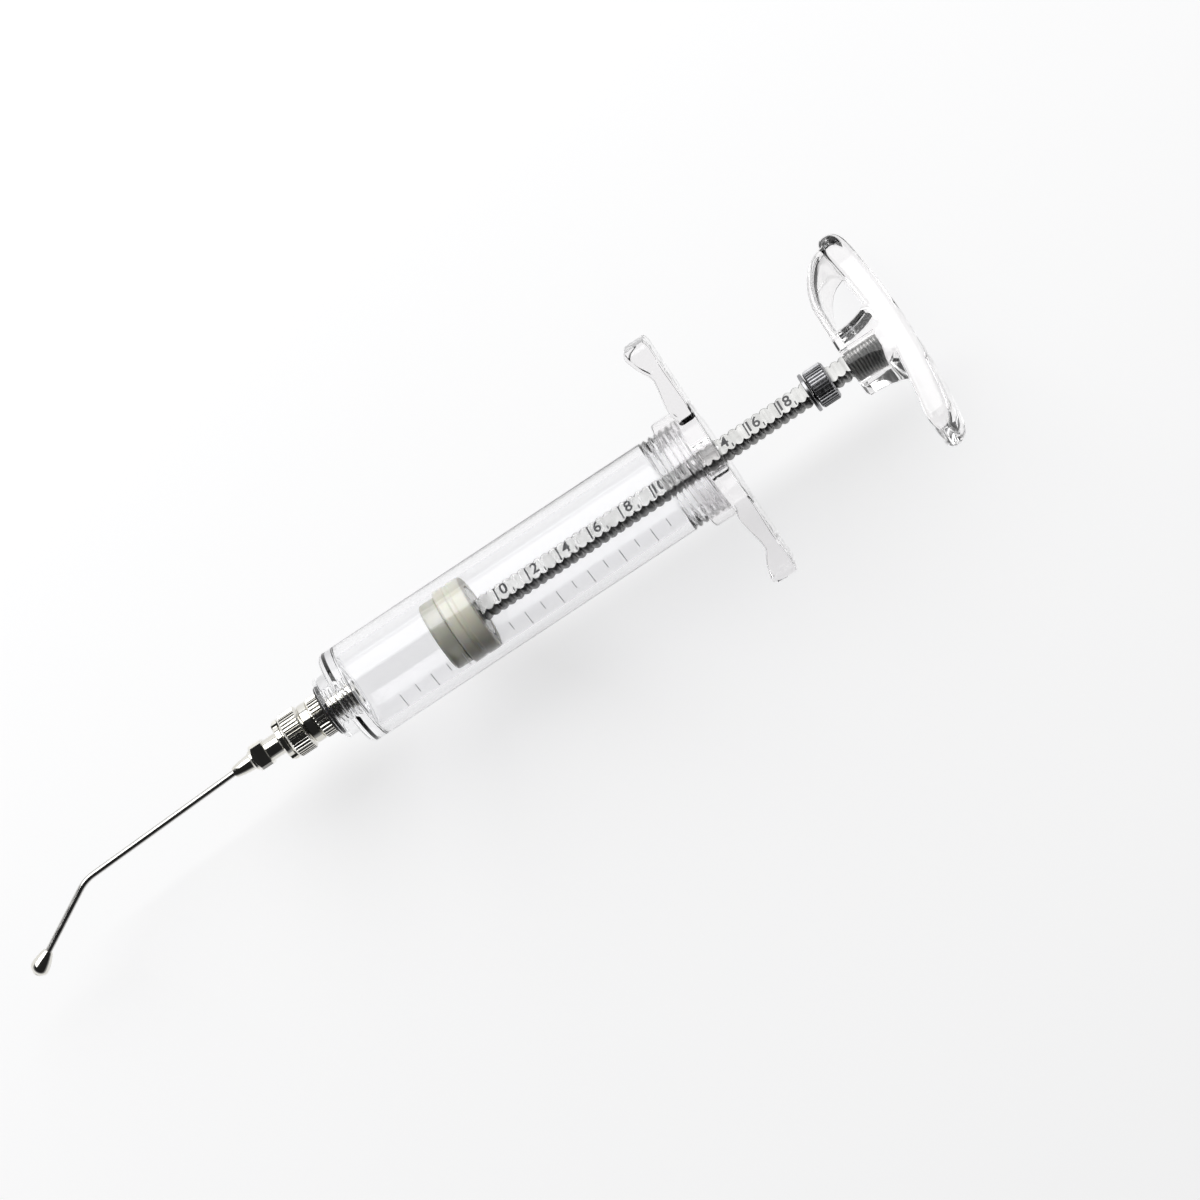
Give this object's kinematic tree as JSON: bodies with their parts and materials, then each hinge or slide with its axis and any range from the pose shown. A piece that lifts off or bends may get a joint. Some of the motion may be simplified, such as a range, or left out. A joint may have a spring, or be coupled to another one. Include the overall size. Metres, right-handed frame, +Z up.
{
  "type": "dosing syringe",
  "caption": "Clear reusable dosing syringe with finger grip, adjustable dose nut, crescent palm handle, luer-lock nozzle and a bent cannula with an olive ball tip.",
  "frame": {"origin": "centre of the whole object's box, on the barrel's axis", "axes": "+X along the barrel's axis towards the palm handle, +Y along the finger grip's upper wing, +Z up when the grip's wings lie flat"},
  "size_m": [0.2349, 0.059, 0.0414],
  "materials": {
    "clear_plastic": "clear, polished",
    "gasket_rubber": "matt",
    "chrome": "polished",
    "stainless": "drawn, satin",
    "silicone": "cream, smooth",
    "piston_plastic": "cream, translucent",
    "rod_steel": "satin flats, bright thread",
    "nut_steel": "dark, bright knurl crests"
  },
  "bodies": {
    "barrel": {"barrel": "clear_plastic", "finger_grip": "clear_plastic", "nozzle_gasket": "gasket_rubber", "nozzle": "chrome", "luer_lock_collar": "chrome"},
    "needle": {"needle_hub": "chrome", "cannula": "stainless", "ball_tip": "chrome"},
    "piston_ring": {"piston_seal": "silicone"},
    "plunger": {"piston_front_plate": "piston_plastic", "piston_rear_plate": "piston_plastic", "plunger_rod": "rod_steel", "palm_handle": "clear_plastic"},
    "nut_washer": {"stop_washer": "nut_steel"},
    "nut": {"dose_nut": "nut_steel"}
  },
  "joints": [
    {"name": "needle_turn", "type": "hinge", "parent": "barrel", "child": "needle", "pos_m": [-0.0424, 0, 0], "axis": [-1, 0, 0], "range_deg": [0, 180]},
    {"name": "plunger_slide", "type": "slide", "parent": "barrel", "child": "piston_ring", "axis": [1, 0, 0], "range_m": [-0.0205, 0.057]},
    {"name": "plunger_turn", "type": "hinge", "parent": "piston_ring", "child": "plunger", "pos_m": [0.00725, 0, 0], "axis": [1, 0, 0], "continuous": true},
    {"name": "nut_travel", "type": "slide", "parent": "plunger", "child": "nut_washer", "axis": [1, 0, 0], "range_m": [-0.0011, 0.0042]},
    {"name": "nut_turn", "type": "hinge", "parent": "nut_washer", "child": "nut", "pos_m": [0.0924, 0, 0], "axis": [1, 0, 0], "range_deg": [-200, 760]}
  ],
  "couplings": [
    {"joint": "nut_turn", "follows": "nut_travel", "rad_per_m": 3141.6}
  ]
}
